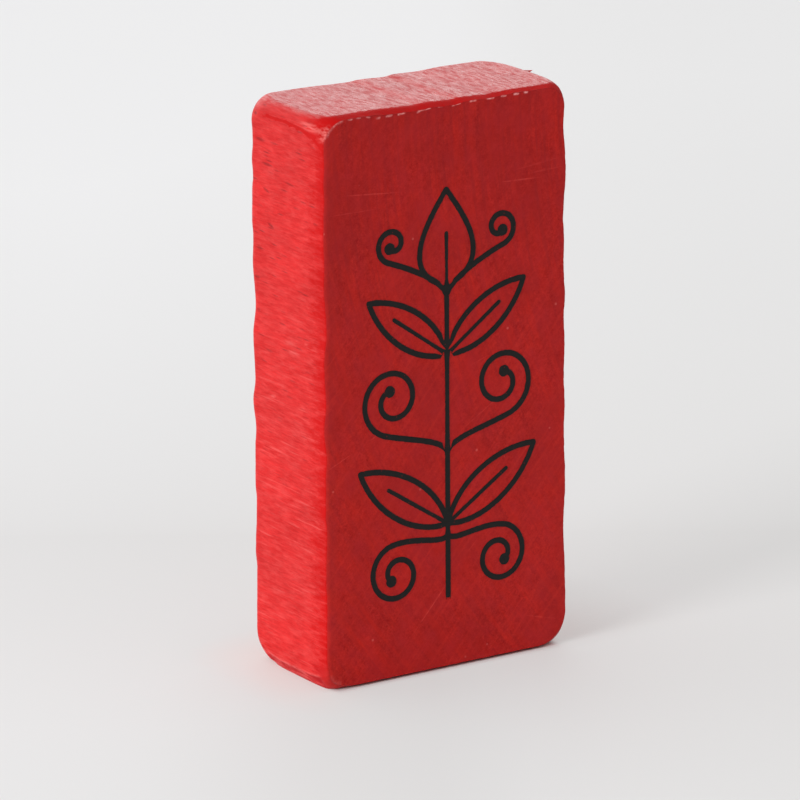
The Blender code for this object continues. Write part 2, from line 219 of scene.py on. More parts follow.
# Broad faces
PORE_TINTS = ((0.32, 0.001, 0.002, 1.0), (0.55, 0.019, 0.014, 1.0))
RAY_TINT = (0.57, 0.013, 0.006, 1.0)
THIN_RAY_TINT = (0.30, 0.008, 0.010, 1.0)
PATCH_TINT = (0.38, 0.009, 0.010, 1.0)
LEFT_RIM_TINT = (0.42, 0.018, 0.016, 1.0)
MAUVE_TINT = (0.42, 0.014, 0.020, 1.0)
HATCH_TINT = (0.59, 0.024, 0.015, 1.0)
SCRATCH_TINT = (0.78, 0.07, 0.058, 1.0)
SPECK_TINT = (0.85, 0.22, 0.2, 1.0)
FACE_STAIN_TINT = (0.24, 0.010, 0.012, 1.0)
BARE_TINT = (0.92, 0.36, 0.35, 1.0)

# Ink, floor and surroundings
INK_TINTS = ((0.006, 0.006, 0.006, 1.0), (0.013, 0.013, 0.012, 1.0))
THIN_INK_TINT = (0.2, 0.008, 0.008, 1.0)
PAPER_TINTS = ((0.81, 0.806, 0.802, 1.0), (0.83, 0.826, 0.822, 1.0))
# Glowing ground: painted shade near the block, lighter far from it
GROUND_TINTS = ((0.61, 0.600, 0.590, 1.0), (0.89, 0.89, 0.90, 1.0))  # near the block and far from it
# Painted pink light thrown off the block on to the ground
PAINTED_GLOW_TINT = (0.86, 0.62, 0.585, 1.0)
WHITE = (1.0, 1.0, 1.0, 1.0)

# Camera, fitted to the photograph together with the block's proportions
CAMERA_AZIMUTH = math.radians(-32.766)
CAMERA_ELEVATION = math.radians(16.145)
CAMERA_ROLL = math.radians(-0.4239)
CAMERA_AIM = (-0.065, 0.0, 25.0)
CAMERA_DISTANCE = 559.36
CAMERA_OFFSET = (-0.793, -2.322)
CAMERA_LENS = 294.18
CAMERA_SENSOR = 36.0
CAMERA_CLIP = 0.01  # in metres

# Floor: directions away from the camera and to its right, and half sizes of the block's foot
FLOOR_AWAY = (-math.sin(CAMERA_AZIMUTH), math.cos(CAMERA_AZIMUTH), 0.0)
FLOOR_ASIDE = (math.cos(CAMERA_AZIMUTH), math.sin(CAMERA_AZIMUTH), 0.0)
BLOCK_FOOT = (HALF_WIDTH - 1.4, HALF_THICKNESS, 0.0)
FLOOR_SIZE = 6.0  # in metres
FLOOR_ROUGHNESS, FLOOR_SPECULAR = 0.6, 0.1

# Key light, in metres and watts
KEY_PLACE = (-0.60, -0.12, 0.19)
KEY_SIZE = 0.24
KEY_POWER = 2.85


# Block mesh


def smooth_step(value):
    """Eased steps from 0 to 1."""
    value = np.clip(value, 0.0, 1.0)
    return value * value * (3 - 2 * value)


def wander(*place):
    """Smooth noise between -1 and 1, for arrays of one shape."""
    arrays = np.broadcast_arrays(*place)
    flat = [a.ravel() for a in arrays]
    values = [noise.noise(Vector(p)) for p in zip(*flat)]
    return np.array(values).reshape(arrays[0].shape)


def hollow(hollows, along):
    """Depth of the cutter marks at distances along a side, eased between the listed places."""
    places, depths = np.array(hollows).T
    near = np.clip(np.searchsorted(places, along) - 1, 0, len(places) - 2)
    share = (along - places[near]) / (places[near + 1] - places[near])
    return depths[near] + (depths[near + 1] - depths[near]) * smooth_step(share)


def corner_radius(radii, y):
    """Radius of one edge through the thickness, which changes towards the broad faces."""
    front, halfway, back = radii
    share = np.abs(y / HALF_THICKNESS) ** CORNER_WEAR_POWER
    return halfway + (np.where(y < 0, front, back) - halfway) * share


class Block:
    """Columns of the narrow sides: the side, the share along it and the share round its end corner."""

    def __init__(self):
        columns = []
        for side, (_, _, _, steps, _, _) in enumerate(SIDES):
            columns += [(side, step / steps, 0.0) for step in range(steps)]
            columns += [(side, 1 - CRISP / HEIGHT, 0.0), (side, 1.0, 0.0)]
            columns += [(side, 1.0, step / ARC_STEPS) for step in range(1, ARC_STEPS)]
        side, share, arc = zip(*columns)
        self.side, self.share, self.arc = np.array(side), np.array(share), np.array(arc)

    def turned(self, number, radius):
        """Cosine and sine of the turn round a side's end. The base's left edge is flat where narrow."""
        arc = self.arc[self.side == number]
        flat = smooth_step((ROUND_FROM - radius) / (ROUND_FROM - FLAT_TO)) * (number == LEFT)
        flat_cosine = np.interp(arc, (0.0, FLAT_END, 1.0), (1.0, FLAT_FOOT, 0.0))
        flat_sine = np.interp(arc, (0.0, FLAT_END), (0.0, 1.0))
        cosine = np.cos(math.pi / 2 * arc) * (1 - flat) + flat_cosine * flat
        sine = np.sin(math.pi / 2 * arc) * (1 - flat) + flat_sine * flat
        return cosine, sine

    def place(self, y, inset):
        """x and z of each column, at its depth y and inset from the sides."""
        x, z = np.zeros(len(self.side)), np.zeros(len(self.side))
        y = np.broadcast_to(y, x.shape)
        inset = np.broadcast_to(inset, x.shape)
        for number, ((corner_x, corner_z), (dx, dz), length, _, own, end_radii) in enumerate(SIDES):
            on = self.side == number
            next_hollows = SIDES[(number + 1) % 4][4]
            start, end = corner_radius(SIDES[number - 1][5], y[on]), corner_radius(end_radii, y[on])
            along = start + (length - start - end) * self.share[on]
            arc = self.arc[on]
            cosine, sine = self.turned(number, end)
            depth = inset[on] + hollow(own, along) * (1 - arc) + hollow(next_hollows, end) * arc
            forward = along + (end - depth) * sine
            outward = (end - depth) * cosine - end
            x[on] = corner_x + dx * forward + dz * outward
            z[on] = corner_z + dz * forward - dx * outward
        return x, z

    def place_with_fibres(self, y, inset):
        """The same, sunk between raised fibres. The base stays flat."""
        x, z = self.place(y, inset)
        a, b, c = FIBRE_PITCH
        sunk = FIBRE_DEPTH * (0.5 + 0.5 * wander(x / a, y / b, z / c)) * (self.side != BASE)
        return self.place(y, inset + sunk)


def rim_wander(block, seed):
    """How far wear moves a rim's arris at each column."""
    x, z = block.place(0.0, 0.0)
    a, b = RIM_WANDER_PITCH, RIM_WANDER_PITCH / 3
    return RIM_WANDER * (wander(x / a, z / a, seed) + 0.5 * wander(x / b, z / b, seed + 5))


def by_side(block, values):
    """A value of each side, at each column. It changes into the next side's value round the corner."""
    own, following = values[block.side], np.roll(values, -1)[block.side]
    return own + (following - own) * block.arc


def rest_of_stain(block):
    """How deep the stain still is where the front rim ends."""
    x = block.place(0.0, 0.0)[0]
    along_top = np.interp(x, TOP_STAIN_PLACES, TOP_STAIN_SHARES)
    return by_side(block, FRONT_RIM_REST) * np.where(block.side == TOP, along_top, 1.0)


def front_rim_rows(block):
    """y, inset, end-grain share and depth of stain of the front rim's rows, from its arris to the sides."""
    x, z = block.place(0.0, 0.0)
    along_top = np.interp(x, TOP_RIM_PLACES, TOP_RIM_EXTRA) * (block.side == TOP) * (block.arc == 0)
    foot = smooth_step(1.2 - np.hypot(x + HALF_WIDTH, z) / FOOT_RIM_REACH)
    inset = by_side(block, FRONT_RIM_INSETS) + along_top + FOOT_RIM_INSET * foot + rim_wander(block, 1.0)
    inset = np.maximum(inset, LEAST_RIM)
    depth = by_side(block, FRONT_RIM_DEPTHS)
    power = by_side(block, FRONT_RIM_POWERS) + FOOT_RIM_POWER * foot
    stain = by_side(block, FRONT_RIM_STAIN) + FOOT_RIM_STAIN * foot
    rest, fade = rest_of_stain(block), by_side(block, FRONT_RIM_FADE)
    rows = []
    for step in range(RIM_STEPS + 1):
        share = (step / RIM_STEPS) ** RIM_SPACING
        end_grain = 1.0 if step == 0 else FOOT_END_GRAIN * foot * (1 - share)
        deep = rest + (stain - rest) * (1 - share) ** fade
        drop = by_side(block, ARRIS_DROPS) * (step == 0)
        further = by_side(block, ARRIS_INSETS) * max(1 - share / ARRIS_SHARE, 0.0) ** 2
        y = depth * share - HALF_THICKNESS + drop
        rows.append((y, inset * (1 - share) ** power + further, end_grain, deep))
    return rows


def back_rim_rows(block):
    """The same for the round back rim, from the sides to the back face."""
    radius = BACK_RIM_RADIUS + rim_wander(block, 2.0)
    rows = []
    for step in range(RIM_STEPS + 1):
        turn = math.pi / 2 * step / RIM_STEPS
        y = HALF_THICKNESS - radius * (1 - math.sin(turn))
        rows.append((y, radius * (1 - math.cos(turn)), math.sin(turn) ** 4, 0.0))
    return rows


def block_rows(block):
    """y, inset, end-grain share and depth of stain of every row, from the front face to the back face."""
    front, back = front_rim_rows(block), back_rim_rows(block)
    start, end = front[-1][0], back[0][0]
    rest, reach = rest_of_stain(block), by_side(block, STAIN_REACHES)
    body = []
    for step in range(1, BODY_STEPS):
        y = start + (end - start) * step / BODY_STEPS
        body.append((y, 0.0, 0.0, rest * smooth_step(1.0 - (y - start) / reach)))
    return front + body + back


def distance_to_line(x, z, line):
    """How far points of a face are from a line with given ends."""
    start, end = np.array(line[:2]), np.array(line[2:])
    way = end - start
    share = np.clip(((x - start[0]) * way[0] + (z - start[1]) * way[1]) / (way @ way), 0, 1)
    return np.hypot(x - start[0] - share * way[0], z - start[1] - share * way[1])


def rim_wear(block, x, z, beyond):
    """Bare wood at the front rim: chips along the top and a thin line round the top-left corner.

    Beyond is how far a row lies from the arris.
    """
    wear = np.zeros(len(x))
    least, most = CHIP_HALF_WIDTHS
    for *chip, strength in CHIPS:
        gap = distance_to_line(x, z, chip) / (least + (most - least) * strength)
        wear = np.maximum(wear, strength * smooth_step(1.4 - gap))
    line = CORNER_LINE_WEAR * smooth_step(1.2 - beyond / CORNER_LINE_WIDTH)
    first, last = CORNER_LINE_ARC
    corner = (block.side == TOP) & (block.arc > first) & (block.arc < last)
    foot = BASE_CORNER_WEAR * smooth_step(1.0 - beyond / BASE_CORNER_REACH) * (block.side == LEFT)
    return np.maximum(np.where(corner, np.maximum(wear, line), wear), foot * np.sqrt(block.arc))


def base_line_wear(block, y):
    """Bare wood along the upper line of the flats on the base's left edge."""
    line = (block.side == LEFT) & (block.share > 1 - 2 * CRISP / HEIGHT) & (block.arc <= 1 / ARC_STEPS)
    patchy = 0.7 + 0.3 * wander(y * 0.8, 0.0, 3.0)
    return BASE_LINE_WEAR * line * patchy * smooth_step(4.2 - y) * smooth_step(y + 5.2)


def scuff(x, y, z):
    """Rubbed spots on the left side, where pale fibres show."""
    marks = np.zeros(np.broadcast(x, y, z).shape)
    for middle_y, middle_z, length, height, strength in SCUFFS:
        gap = np.hypot((y - middle_y) / length, (z - middle_z) / height)
        marks = np.maximum(marks, strength * smooth_step(1.3 - gap))
    return marks * (x < 2.5 - HALF_WIDTH)


def corner_shade(x, y, z):
    """Painted shade along the crease where the left side turns into the top-left edge, laid in as deep stain.
    """
    line_y, line_z = np.array(CORNER_SHADE).T
    middle = np.interp(y, line_y, line_z) + CORNER_SHADE_WANDER * wander(y * 1.7, 0.0, 5.0)
    gap = np.abs(z - middle) / CORNER_SHADE_HALF_HEIGHT
    strength = (1.3 + 0.6 * wander(y * 1.1, 0.0, 7.0)) * smooth_step((4.6 - y) / 3.0)
    return strength * smooth_step(1.3 - gap) * (x < 1.0 - HALF_WIDTH)


def right_shade(x, y, z):
    """Painted shade round the front end of the top-right edge, laid in as deep stain."""
    around = smooth_step((x - HALF_WIDTH + 1.1) / 0.8) * smooth_step((z - HEIGHT + 3.5) / 1.5)
    return RIGHT_PAINTED_SHADE * around * smooth_step(-(y + 3.6) / 1.6)


def inside_face(x, z, margin):
    """Whether a point of a face is farther than a margin from its rounded outline."""
    reach_x = HALF_WIDTH - WIDEST_CORNER
    reach_z = HEIGHT / 2 - WIDEST_CORNER
    out = math.hypot(max(abs(x) - reach_x, 0.0), max(abs(z - HEIGHT / 2) - reach_z, 0.0))
    return out < WIDEST_CORNER - margin


def face_relief(x, z):
    """How far saw marks sink a face below its plane, fading out at its rim."""
    edge = min(HALF_WIDTH - abs(x), HEIGHT / 2 - abs(z - HEIGHT / 2))
    fade = smooth_step((edge - 1.0) / 2.0)
    swing = 0.5 * noise.noise(Vector((x * 0.15, z * 0.15, 3.0)))
    arc = math.hypot(x - SAW_CENTRE[0], z - SAW_CENTRE[1]) + swing
    return fade * SAW_DEPTH * (0.5 + 0.5 * math.sin(2 * math.pi * arc / SAW_PITCH))


class MeshMaker:
    """Gathers points with their attributes, and faces."""

    def __init__(self):
        self.points, self.faces, self.flat_faces = [], [], []
        self.attributes = {"end_grain": [], "wear": [], "scuff": [], "deep": []}

    def add(self, x, y, z, **attributes):
        """New points from arrays, and their numbers."""
        first = len(self.points)
        x, y, z = np.broadcast_arrays(x, y, z)
        self.points += list(zip(x.tolist(), y.tolist(), z.tolist()))
        for name, values in self.attributes.items():
            values += np.broadcast_to(attributes.get(name, 0.0), x.shape).tolist()
        return list(range(first, len(self.points)))

    def strip(self, near, far):
        """Quads between two closed rings."""
        for i in range(len(near)):
            j = (i + 1) % len(near)
            self.faces.append((near[i], near[j], far[j], far[i]))

    def finish(self, name, material, smooth=True):
        """The piece, with its material."""
        mesh = bpy.data.meshes.new(name)
        mesh.from_pydata((np.array(self.points) * MM).tolist(), [], self.faces)
        for key, values in self.attributes.items():
            mesh.attributes.new(key, "FLOAT", "POINT").data.foreach_set("value", values)
        bm = bmesh.new()
        bm.from_mesh(mesh)
        bmesh.ops.recalc_face_normals(bm, faces=bm.faces)
        bm.to_mesh(mesh)
        bm.free()
        if smooth:
            mesh.shade_smooth()
        for number in self.flat_faces:
            mesh.polygons[number].use_smooth = False
        mesh.materials.append(material)
        piece = bpy.data.objects.new(name, mesh)
        bpy.context.scene.collection.objects.link(piece)
        return piece


def fill_face(maker, block, rim, inset, face_y):
    """Fill the outline of a broad face with a fine mesh that carries the saw marks."""
    inward = -math.copysign(1.0, face_y)
    for extra in FACE_RING_INSETS:
        x, z = block.place_with_fibres(face_y, inset + extra)
        wear, drop = 0.0, 0.0
        if face_y < 0:
            wear = rim_wear(block, x, z, extra)
            drop = by_side(block, ARRIS_DROPS) * max(1 - extra / ARRIS_REACH, 0.0) ** 2
        ring = maker.add(x, face_y + inward * drop, z, end_grain=1.0, wear=wear)
        maker.strip(rim, ring)
        rim = ring
    outline = [Vector((maker.points[i][0], maker.points[i][2])) for i in rim]
    edges = [(i, (i + 1) % len(rim)) for i in range(len(rim))]
    grid = []
    for row_number, z in enumerate(np.arange(FACE_GRID, HEIGHT, FACE_GRID * FACE_ROW)):
        for x in np.arange(-HALF_WIDTH + FACE_GRID * (row_number % 2) / 2, HALF_WIDTH, FACE_GRID):
            if inside_face(x, z, FACE_GRID_MARGIN):
                grid.append(Vector((x, z)))
    filled = geometry.delaunay_2d_cdt(outline + grid, edges, [], 1, 1e-7)
    numbers = []
    for point, sources in zip(filled[0], filled[3]):
        if sources and sources[0] < len(rim):
            numbers.append(rim[sources[0]])
        else:
            depth = inward * face_relief(*point)
            numbers += maker.add(np.array([point.x]), face_y + depth, point.y, end_grain=1.0)
    for face in filled[2]:
        maker.faces.append(tuple(numbers[i] for i in face))


def add_splinter(maker):
    """A sliver that stands off the top-right edge."""
    root, tip = Vector(SPLINTER_ROOT), Vector(SPLINTER_TIP)
    along = (tip - root).normalized()
    across = along.cross(Vector((0.0, 0.0, 1.0))).normalized() * SPLINTER_WIDTH / 2
    middle = root.lerp(tip, SPLINTER_MIDDLE) + Vector((0.0, 0.0, -SPLINTER_SAG))
    drop = Vector((0.0, 0.0, -SPLINTER_HEIGHT))
    near, far = middle - across * SPLINTER_NEAR, middle + across * SPLINTER_FAR
    ring = [root + across, root - across, near, tip, far]
    lower = [point + drop * (SPLINTER_END if point == tip else 1.0) for point in ring]
    top = maker.add(*np.array(ring).T, deep=SPLINTER_STAIN)
    bottom = maker.add(*np.array(lower).T, deep=SPLINTER_STAIN)
    first = len(maker.faces)
    maker.faces.append(tuple(top))
    maker.faces.append(tuple(reversed(bottom)))
    maker.strip(bottom, top)
    maker.flat_faces += range(first, len(maker.faces))


def build_block(material):
    """The wooden body: wavy sides, worn rims and sawn faces."""
    block, maker = Block(), MeshMaker()
    rows = block_rows(block)
    rings = []
    for number, (y, inset, end_grain, deep) in enumerate(rows):
        x, z = block.place_with_fibres(y, inset)
        wear = base_line_wear(block, y)
        if number == 0:
            wear = np.maximum(wear, rim_wear(block, x, z, 0.0))
        # Painted shade: the down-facing flat on the base's left edge is darkened through the stain depth, and
        # so are the crease line and the top-right corner
        on_flat = (block.side == LEFT) & (block.arc > 0)
        flat = FLAT_PAINTED_SHADE * on_flat * smooth_step((FLAT_SHADE_END - y) / FLAT_SHADE_FADE)
        deep = np.maximum.reduce((deep + flat, corner_shade(x, y, z), right_shade(x, y, z)))
        rings.append(maker.add(x, y, z, end_grain=end_grain, wear=wear, scuff=scuff(x, y, z), deep=deep))
    for near, far in zip(rings, rings[1:]):
        maker.strip(near, far)
    fill_face(maker, block, rings[0], rows[0][1], -HALF_THICKNESS)
    fill_face(maker, block, rings[-1], rows[-1][1], HALF_THICKNESS)
    add_splinter(maker)
    return maker.finish("stained_block", material)


# Print mesh


def print_loops():
    """Closed outlines of the frame's print, as points (x, z) on the front face."""
    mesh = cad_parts["front_print"].data
    front = min(v.co.y for v in mesh.vertices)
    key = [(round(v.co.x / MM, 4), round(v.co.z / MM, 4)) for v in mesh.vertices]
    directed = set()
    for polygon in mesh.polygons:
        if all(abs(mesh.vertices[i].co.y - front) < 1e-7 for i in polygon.vertices):
            corners = [key[i] for i in polygon.vertices]
            directed.update(zip(corners, corners[1:] + corners[:1]))
    following = {a: b for a, b in directed if (b, a) not in directed}
    loops = []
    while following:
        start = min(following)
        here = following.pop(start)
        loop = [start]
        while here != start:
            loop.append(here)
            here = following.pop(here)
        loops.append(loop)
    return loops


def smooth_loop(loop):
    """The loop as a smooth curve with even steps and slightly broken edges."""
    kept = []
    for point in loop:
        if not kept or math.dist(point, kept[-1]) > INK_LEAST_STEP:
            kept.append(point)
    points = np.array(kept)
    smooth = []
    for i in range(len(points)):
        a, b, c, d = (points[(i + k) % len(points)] for k in (-1, 0, 1, 2))
        steps = max(1, round(math.dist(b, c) / INK_STEP))
        for step in range(steps):
            t = step / steps
            bend = (2 * a - 5 * b + 4 * c - d) * t * t + (3 * b - a - 3 * c + d) * t ** 3
            smooth.append(0.5 * (2 * b + (c - a) * t + bend))
    x, z = np.array(smooth).T
    fine_x, fine_z = x * INK_EDGE_FINENESS, z * INK_EDGE_FINENESS
    shift_x, shift_z = (wander(fine_x, fine_z, seed) for seed in (1.0, 8.0))
    return np.column_stack((x + INK_EDGE_WANDER * shift_x, z + INK_EDGE_WANDER * shift_z))


def inside_loops(x, z, loops):
    """Whether points lie inside an odd number of the closed loops."""
    inside = np.zeros(len(x), bool)
    for loop in loops:
        for (ax, az), (bx, bz) in zip(loop, np.roll(loop, -1, axis=0)):
            if az != bz:
                across = (az > z) != (bz > z)
                inside ^= across & (x < ax + (z - az) / (bz - az) * (bx - ax))
    return inside


def build_print(material):
    """The ink film on the front face."""
    loops = [smooth_loop(loop) for loop in print_loops()]
    points, edges = [], []
    for loop in loops:
        first = len(points)
        points += [Vector(p) for p in loop]
        edges += [(first + i, first + (i + 1) % len(loop)) for i in range(len(loop))]
    filled = geometry.delaunay_2d_cdt(points, edges, [], 1, 1e-7)
    x, z = np.array(filled[0]).T
    triangles = np.array(filled[2])
    inked = inside_loops(x[triangles].mean(axis=1), z[triangles].mean(axis=1), loops)
    maker = MeshMaker()
    outer = maker.add(x, -HALF_THICKNESS - INK_PROUD, z)
    inner = maker.add(x, -HALF_THICKNESS, z)
    directed = set()
    for face in triangles[inked].tolist():
        maker.faces.append(tuple(outer[i] for i in face))
        maker.faces.append(tuple(inner[i] for i in reversed(face)))
        directed.update(zip(face, face[1:] + face[:1]))
    for a, b in sorted(directed):
        if (b, a) not in directed:
            maker.faces.append((outer[b], outer[a], inner[a], inner[b]))
    return maker.finish("ink_ornament", material, smooth=False)


# Materials


def add(tree, kind, inputs=(), **settings):
    """A new node with its settings, and its inputs set or linked."""
    node = tree.nodes.new(kind)
    for name, value in settings.items():
        setattr(node, name, value)
    for socket, value in dict(inputs).items():
        if isinstance(value, bpy.types.NodeSocket):
            tree.links.new(value, node.inputs[socket])
        else:
            node.inputs[socket].default_value = value
    return node


def new_material(name):
    """A material with its node tree and its shader."""
    material = bpy.data.materials.new(name)
    material.use_nodes = True
    tree = material.node_tree
    return material, tree, tree.nodes["Principled BSDF"]


def place_in_mm(tree):
    """The point's place in the row frame, in millimetres."""
    here = add(tree, "ShaderNodeTexCoord").outputs["Object"]
    return vector_times(tree, here, (1 / MM,) * 3)


def vector_maths(tree, operation, a, b):
    return add(tree, "ShaderNodeVectorMath", {0: a, 1: b}, operation=operation).outputs[0]


def vector_times(tree, a, b):
    return vector_maths(tree, "MULTIPLY", a, b)


def dot(tree, a, b):
    return add(tree, "ShaderNodeVectorMath", {0: a, 1: b}, operation="DOT_PRODUCT").outputs["Value"]


def scaled(tree, vector, factor):
    return add(tree, "ShaderNodeVectorMath", {0: vector, "Scale": factor}, operation="SCALE").outputs[0]


def grain(tree, place, scale, detail=2.0, roughness=0.5, seed=0.0):
    """Noise between 0 and 1, with a scale for each axis in features per millimetre."""
    inputs = {
        "Vector": vector_times(tree, place, scale),
        "W": seed, "Scale": 1.0, "Detail": detail, "Roughness": roughness,
    }
    return add(tree, "ShaderNodeTexNoise", inputs, noise_dimensions="4D").outputs[0]


def cells(tree, place, scale, seed=0.0):
    """Distance to the nearest of many scattered points, with a scale for each axis."""
    moved = vector_maths(tree, "ADD", vector_times(tree, place, scale), (seed, seed, seed))
    return add(tree, "ShaderNodeTexVoronoi", {"Vector": moved, "Scale": 1.0}).outputs["Distance"]


def span(tree, value, low, high, to_low=0.0, to_high=1.0):
    """The value moved from one range to another, and held inside it."""
    inputs = {"Value": value, "From Min": low, "From Max": high, "To Min": to_low, "To Max": to_high}
    return add(tree, "ShaderNodeMapRange", inputs).outputs[0]


def maths(tree, operation, a, b):
    return add(tree, "ShaderNodeMath", {0: a, 1: b}, operation=operation).outputs[0]


def times(tree, value, *factors):
    """The product of several values."""
    for factor in factors:
        value = maths(tree, "MULTIPLY", value, factor)
    return value


def blend(tree, factor, a, b):
    """Two colours mixed by a factor."""
    return add(tree, "ShaderNodeMix", {0: factor, 6: a, 7: b}, data_type="RGBA").outputs[2]


def mix_values(tree, factor, a, b):
    return add(tree, "ShaderNodeMix", {0: factor, 2: a, 3: b}).outputs[0]


def attribute(tree, name):
    return add(tree, "ShaderNodeAttribute", attribute_name=name).outputs["Fac"]


def add_bump(tree, shader, height):
    """Relief from a height in millimetres."""
    bump = add(tree, "ShaderNodeBump", {"Height": height, "Distance": MM, "Strength": 1.0})
    tree.links.new(bump.outputs[0], shader.inputs["Normal"])


def flattened(tree, place, across):
    """The place without its coordinate across a face."""
    return vector_times(tree, place, tuple(float(axis != across) for axis in range(3)))


def scratch(tree, flat, across, line, width):
    """1 along a line on a face, and 0 from its width on. The line gives two coordinates of each end."""
    start, end = list(line[:2]), list(line[2:])
    start.insert(across, 0.0)
    end.insert(across, 0.0)
    way = Vector(end) - Vector(start)
    from_start = vector_maths(tree, "SUBTRACT", flat, start)
    share = span(tree, dot(tree, from_start, way / way.length_squared), 0.0, 1.0)
    foot = scaled(tree, tuple(way), share)
    gap = add(tree, "ShaderNodeVectorMath", {0: from_start, 1: foot}, operation="DISTANCE").outputs["Value"]
    off = maths(tree, "ABSOLUTE", maths(tree, "SUBTRACT", share, 0.5), 0.0)
    taper = span(tree, off, 0.15, 0.5, 1.0, 0.3)
    return span(tree, maths(tree, "SUBTRACT", taper, maths(tree, "DIVIDE", gap, width)), 0.0, 0.7)


def scratches(tree, place, across, lines):
    """The strongest of several scratches on a face, at its strength."""
    flat = flattened(tree, place, across)
    strongest = 0.0
    for *line, width, strength in lines:
        mark = times(tree, scratch(tree, flat, across, line, width), strength)
        strongest = maths(tree, "MAXIMUM", strongest, mark)
    return strongest


def side_looks(tree, place):
    """Colour, roughness and height of the long grain on the narrow sides, with a painted pink sheen on the
    top.
    """
    parts = add(tree, "ShaderNodeSeparateXYZ", {0: place}).outputs
    on_left = span(tree, parts["X"], 1.0 - HALF_WIDTH, 2.0 - HALF_WIDTH, 1.0, 0.0)
    on_top = span(tree, parts["Z"], HEIGHT - 0.32, HEIGHT - 0.17)
    fine = grain(tree, place, (5.0, 0.65, 7.0), 3.0, 0.7)
    coarse = grain(tree, place, (1.2, 0.4, 1.4), 3.0, 0.6, 4.0)
    fibre = mix_values(tree, 0.36, fine, coarse)
    specks = span(tree, cells(tree, place, (1.5, 0.36, 2.4)), 0.07, 0.24, 0.72, 0.0)
    specks = times(tree, specks, span(tree, parts["Z"], 12.0, 34.0, 0.2, 1.0))
    left_nicks = times(tree, scratches(tree, place, 0, LEFT_NICKS), on_left)
    top_nicks = times(tree, scratches(tree, place, 2, TOP_NICKS), on_top)
    nicks = maths(tree, "MAXIMUM", specks, maths(tree, "MAXIMUM", left_nicks, top_nicks))
    gleams = times(tree, scratches(tree, place, 0, LEFT_GLEAMS), on_left)
    glints = span(tree, grain(tree, place, (1.8, 0.6, 2.2), 4.0, 0.6, 9.0), 0.46, 0.76, 0.0, 0.65)
    tint = blend(tree, span(tree, fibre, 0.37, 0.63), *SIDE_TINTS)
    glints = times(tree, glints, span(tree, parts["Z"], HEIGHT - 2.0, HEIGHT - 1.0, 1.0, 0.2))
    tint = blend(tree, maths(tree, "MAXIMUM", glints, gleams), tint, GLEAM_TINT)
    threads = span(tree, grain(tree, place, (0.8, 0.2, 4.2), 3.0, 0.5, 33.0), 0.585, 0.70, 0.0, 0.48)
    threads = times(tree, threads, span(tree, parts["Z"], 24.0, 36.0, 1.0, 0.15))
    tint = blend(tree, threads, tint, THREAD_TINT)
    tint = blend(tree, nicks, tint, NICK_TINT)
    # Painted sheen: the top is mixed towards a pale pink, as its reflection looks; the same noise sets its
    # roughness
    sheen_noise = span(tree, grain(tree, place, (4.0, 0.9, 4.0), 3.0, 0.6, 21.0), 0.37, 0.59)
    top_tint_and_sheen = blend(tree, sheen_noise, *TOP_TINT_AND_SHEEN)
    tint = blend(tree, on_top, tint, blend(tree, top_nicks, top_tint_and_sheen, TOP_NICK_TINT))
    rough = span(tree, fibre, 0.40, 0.60, 0.46, 0.28)
    rough = mix_values(tree, on_top, rough, span(tree, sheen_noise, 0.0, 1.0, 0.46, 0.26))
    height = maths(tree, "SUBTRACT", times(tree, fibre, FIBRE_BUMP), times(tree, nicks, NICK_BUMP))
    return tint, rough, height


